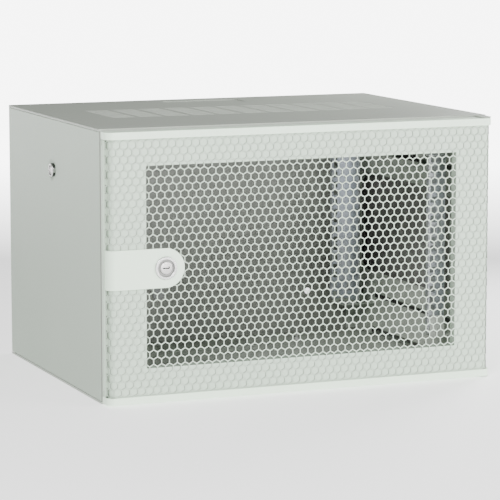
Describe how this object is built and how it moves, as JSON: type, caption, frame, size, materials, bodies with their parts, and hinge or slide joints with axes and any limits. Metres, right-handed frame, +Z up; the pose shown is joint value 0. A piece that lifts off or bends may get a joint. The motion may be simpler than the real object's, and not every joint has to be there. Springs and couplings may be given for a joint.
{
  "type": "wall mount network cabinet",
  "caption": "Wall mount network cabinet with a perforated hinged door, cam lock, removable lockable side panels, vented top and depth-adjustable 19-inch rails.",
  "frame": {"origin": "centre of the overall footprint, on the plane the cabinet stands on", "axes": "+X to the right seen from the front, +Y to the back (the wall side), +Z up; the door faces -Y"},
  "size_m": [0.606, 0.453, 0.387],
  "materials": {
    "painted_steel": "light grey fine-textured powder coat",
    "door_trim": "light grey smooth powder coat",
    "zinc_steel": "bright zinc-plated steel, faint blue passivation",
    "lock_chrome": "polished chrome plate",
    "lock_steel": "satin nickel-plated steel",
    "hardware": "zinc-plated fasteners",
    "bush": "black acetal"
  },
  "bodies": {
    "cabinet": {"top_panel": "painted_steel", "bottom_panel": "painted_steel", "rear_panel": "painted_steel", "side_frame_left": "painted_steel", "side_frame_right": "painted_steel", "top_entry_cover": "painted_steel", "bottom_entry_cover": "painted_steel", "top_entry_screws": "hardware", "bottom_entry_screws": "hardware", "rear_panel_screws": "hardware", "frame_screws_left": "hardware", "frame_screws_right": "hardware", "earth_stud": "hardware", "earth_nut": "hardware", "hinge_bracket_top": "painted_steel", "hinge_bracket_bottom": "painted_steel", "hinge_pin_top": "hardware", "hinge_pin_bottom": "hardware"},
    "door": {"door_frame": "painted_steel", "door_mesh": "painted_steel", "door_edge_left": "painted_steel", "door_edge_right": "painted_steel", "door_cap_top": "door_trim", "door_cap_bottom": "door_trim", "hinge_bush_top": "bush", "hinge_bush_bottom": "bush", "lock_tab": "door_trim", "door_lock_housing": "lock_chrome", "door_lock_clip": "lock_steel"},
    "door_lock": {"door_lock_plug": "lock_steel", "door_lock_cam": "lock_steel", "door_lock_cam_screw": "lock_steel"},
    "side_panel_left": {"side_panel_left": "painted_steel", "side_lock_housing_left": "lock_chrome", "side_lock_clip_left": "lock_steel"},
    "side_lock_left": {"side_lock_plug_left": "lock_steel", "side_lock_cam_left": "lock_steel"},
    "side_panel_right": {"side_panel_right": "painted_steel", "side_lock_housing_right": "lock_chrome", "side_lock_clip_right": "lock_steel"},
    "side_lock_right": {"side_lock_plug_right": "lock_steel", "side_lock_cam_right": "lock_steel"},
    "rail_front_left": {"rail_front_left": "zinc_steel", "rail_brackets_front_left": "painted_steel", "rail_bolts_front_left": "hardware"},
    "rail_front_right": {"rail_front_right": "zinc_steel", "rail_brackets_front_right": "painted_steel", "rail_bolts_front_right": "hardware"},
    "rail_rear_left": {"rail_rear_left": "zinc_steel", "rail_brackets_rear_left": "painted_steel", "rail_bolts_rear_left": "hardware"},
    "rail_rear_right": {"rail_rear_right": "zinc_steel", "rail_brackets_rear_right": "painted_steel", "rail_bolts_rear_right": "hardware"}
  },
  "joints": [
    {"name": "door_hinge", "type": "hinge", "parent": "cabinet", "child": "door", "pos_m": [0.29075, -0.2125, 0.1935], "axis": [0, 0, 1], "range_deg": [0, 180]},
    {"name": "door_lock_turn", "type": "hinge", "parent": "door", "child": "door_lock", "pos_m": [-0.212, -0.2, 0.1918], "axis": [0, 1, 0], "range_deg": [0, 90]},
    {"name": "side_panel_left_tilt", "type": "hinge", "parent": "cabinet", "child": "side_panel_left", "pos_m": [-0.2998, 0.0145, 0.0039], "axis": [0, -1, 0], "range_deg": [0, 35]},
    {"name": "side_lock_left_turn", "type": "hinge", "parent": "side_panel_left", "child": "side_lock_left", "pos_m": [-0.29, 0.013, 0.3088], "axis": [1, 0, 0], "range_deg": [0, 90]},
    {"name": "side_panel_right_tilt", "type": "hinge", "parent": "cabinet", "child": "side_panel_right", "pos_m": [0.2998, 0.0145, 0.0039], "axis": [0, 1, 0], "range_deg": [0, 35]},
    {"name": "side_lock_right_turn", "type": "hinge", "parent": "side_panel_right", "child": "side_lock_right", "pos_m": [0.29, 0.013, 0.3088], "axis": [1, 0, 0], "range_deg": [0, 90]},
    {"name": "rail_front_left_slide", "type": "slide", "parent": "cabinet", "child": "rail_front_left", "axis": [0, 1, 0], "range_m": [0, 0.1]},
    {"name": "rail_front_right_slide", "type": "slide", "parent": "cabinet", "child": "rail_front_right", "axis": [0, 1, 0], "range_m": [0, 0.1]},
    {"name": "rail_rear_left_slide", "type": "slide", "parent": "cabinet", "child": "rail_rear_left", "axis": [0, 1, 0], "range_m": [-0.1, 0]},
    {"name": "rail_rear_right_slide", "type": "slide", "parent": "cabinet", "child": "rail_rear_right", "axis": [0, 1, 0], "range_m": [-0.1, 0]}
  ]
}
